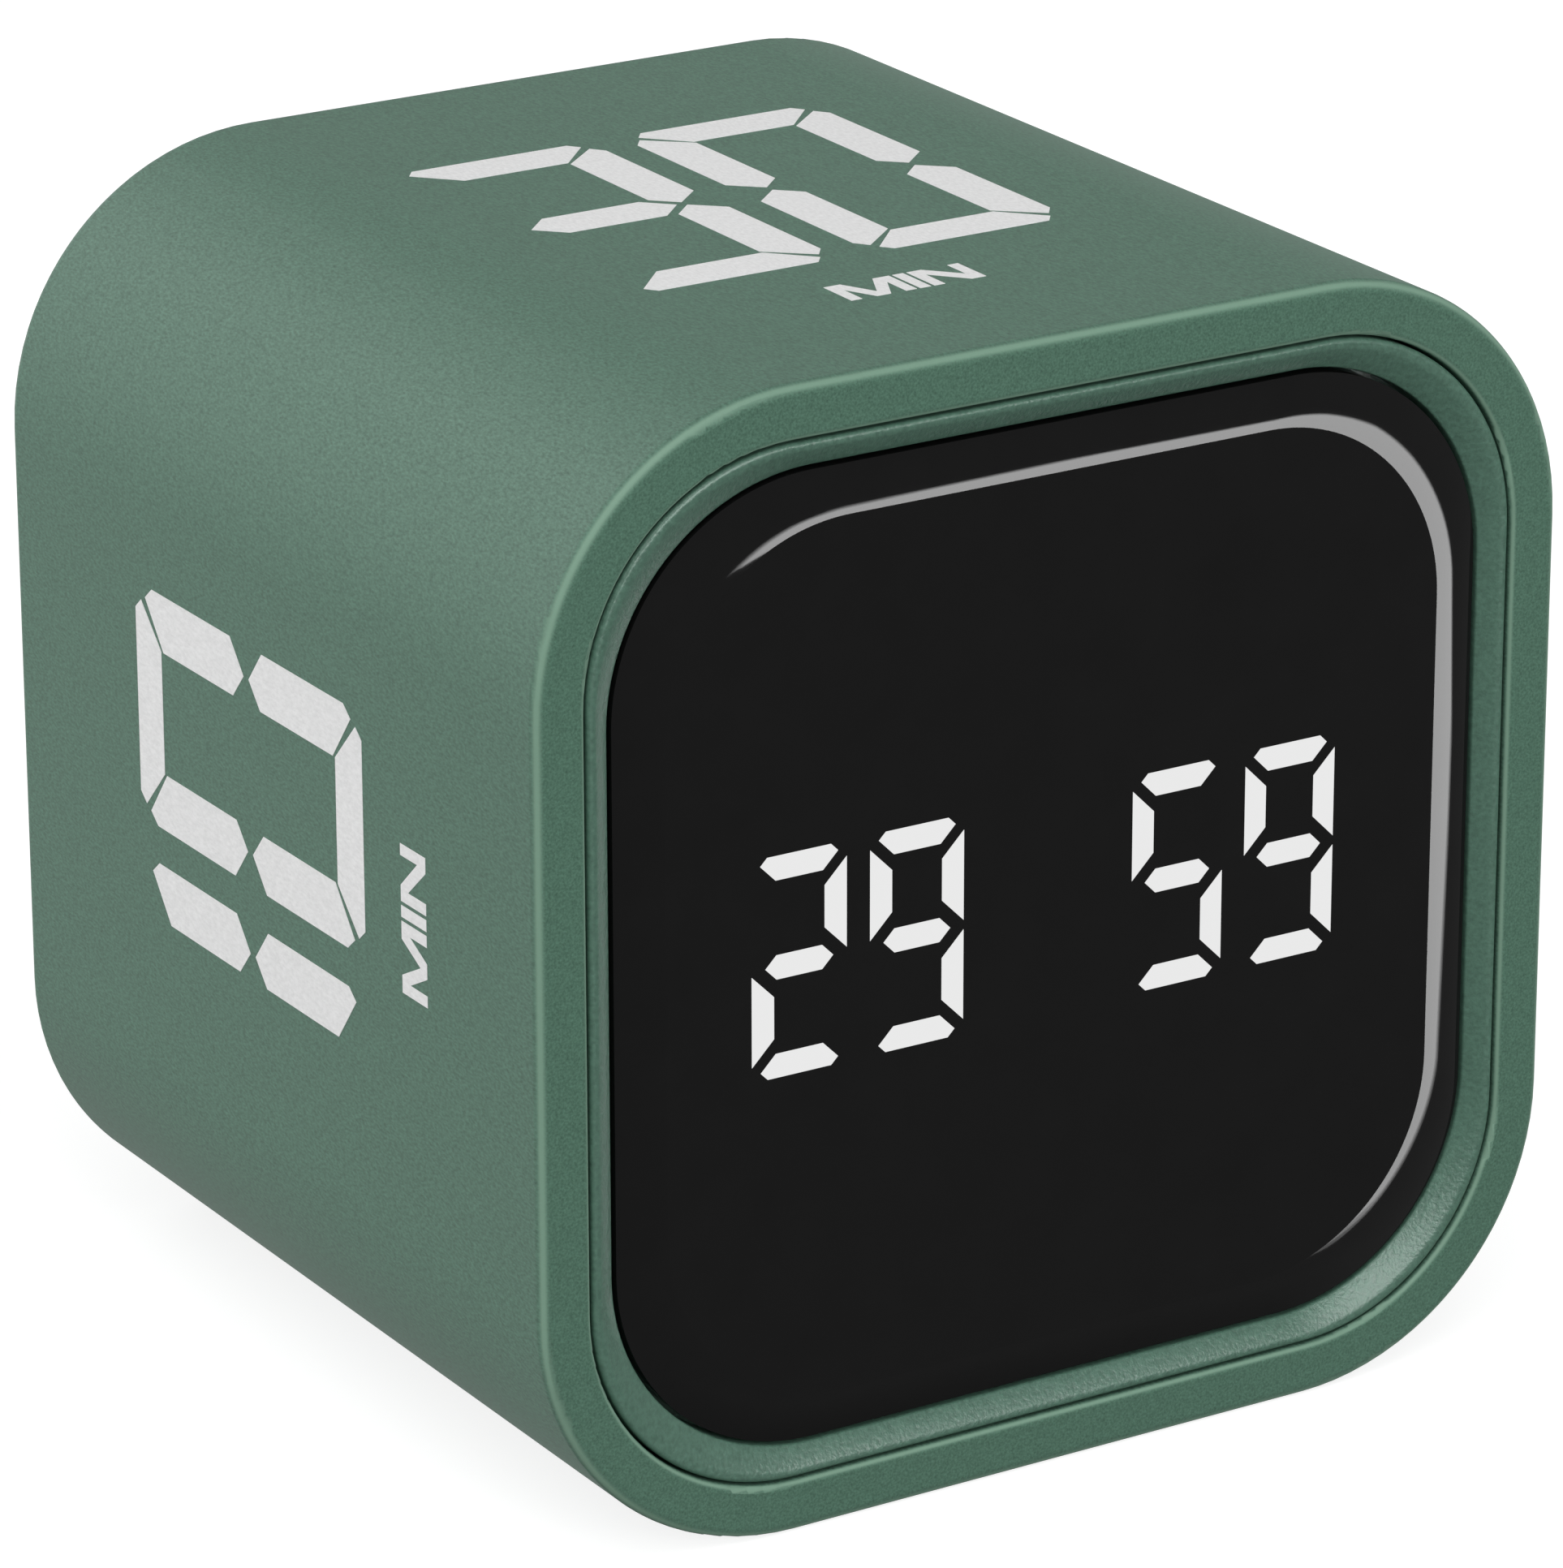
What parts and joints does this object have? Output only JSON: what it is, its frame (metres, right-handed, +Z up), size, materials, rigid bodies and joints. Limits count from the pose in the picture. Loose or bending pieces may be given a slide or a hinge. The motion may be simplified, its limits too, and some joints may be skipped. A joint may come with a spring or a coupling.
{
  "type": "digital cube clock",
  "caption": "Rounded cube countdown clock with a dark display window in front, preset times on its sides, and a recessed back with a mode switch, push buttons and a charging socket.",
  "frame": {"origin": "middle of the underside, on the surface that the cube stands on", "axes": "+Z up, +Y from the display towards the back, +X to the right of someone facing the display"},
  "size_m": [0.06, 0.055, 0.06],
  "materials": {
    "green_paint": "soft-touch matt paint with a fine grain",
    "green_satin": "moulded satin",
    "smoked_lens": "polished",
    "display_light": "translucent white resin",
    "black_plastic": "moulded matt",
    "black_tape": "adhesive tape",
    "led_resin": "clear resin",
    "board_mask": "solder mask",
    "steel": "plated",
    "cream_plastic": "moulded matt",
    "ceramic": "fired",
    "ribbon_film": "laminated film",
    "battery_foil": "laminated foil",
    "foam": "closed-cell foam",
    "wire_sleeve": "flexible sleeve"
  },
  "bodies": {
    "housing": {"shell": "green_paint", "front_bezel": "green_satin", "lens_tape": "black_tape", "lens": "smoked_lens", "display_reflector": "black_plastic", "light_bars": "display_light", "display_leds": "led_resin", "display_board": "board_mask", "display_board_screws": "steel", "microcontroller": "black_plastic", "led_driver": "black_plastic", "gravity_sensor": "black_plastic", "clock_crystal": "steel", "display_capacitors": "ceramic", "ribbon_sockets": "cream_plastic", "ribbon_cable": "ribbon_film", "rear_cover": "green_paint", "rear_cover_screws": "steel", "control_board": "board_mask", "control_board_screws": "steel", "tact_switches": "black_plastic", "mode_switch_case": "steel", "usb_socket": "steel", "usb_tongue": "black_plastic", "charger_chip": "black_plastic", "buzzer": "black_plastic", "battery_pouch": "battery_foil", "battery_guard_board": "board_mask", "battery_pad": "foam", "battery_leads": "wire_sleeve", "battery_plug": "cream_plastic", "battery_socket": "cream_plastic"},
    "minute_key": {"minute_button": "green_paint", "minute_plunger": "cream_plastic"},
    "second_key": {"second_button": "green_paint", "second_plunger": "cream_plastic"},
    "start_key": {"start_button": "green_paint", "start_plunger": "cream_plastic"},
    "mode_slider": {"mode_knob": "black_plastic", "mode_switch_lever": "black_plastic"}
  },
  "joints": [
    {"name": "minute_press", "type": "slide", "parent": "housing", "child": "minute_key", "axis": [0, -1, 0], "range_m": [0, 0.0005], "stiffness_N_per_m": 3000},
    {"name": "second_press", "type": "slide", "parent": "housing", "child": "second_key", "axis": [0, -1, 0], "range_m": [0, 0.0005], "stiffness_N_per_m": 3000},
    {"name": "start_press", "type": "slide", "parent": "housing", "child": "start_key", "axis": [0, -1, 0], "range_m": [0, 0.0005], "stiffness_N_per_m": 3000},
    {"name": "mode_slide", "type": "slide", "parent": "housing", "child": "mode_slider", "axis": [1, 0, 0], "range_m": [-0.002, 0.002]}
  ]
}
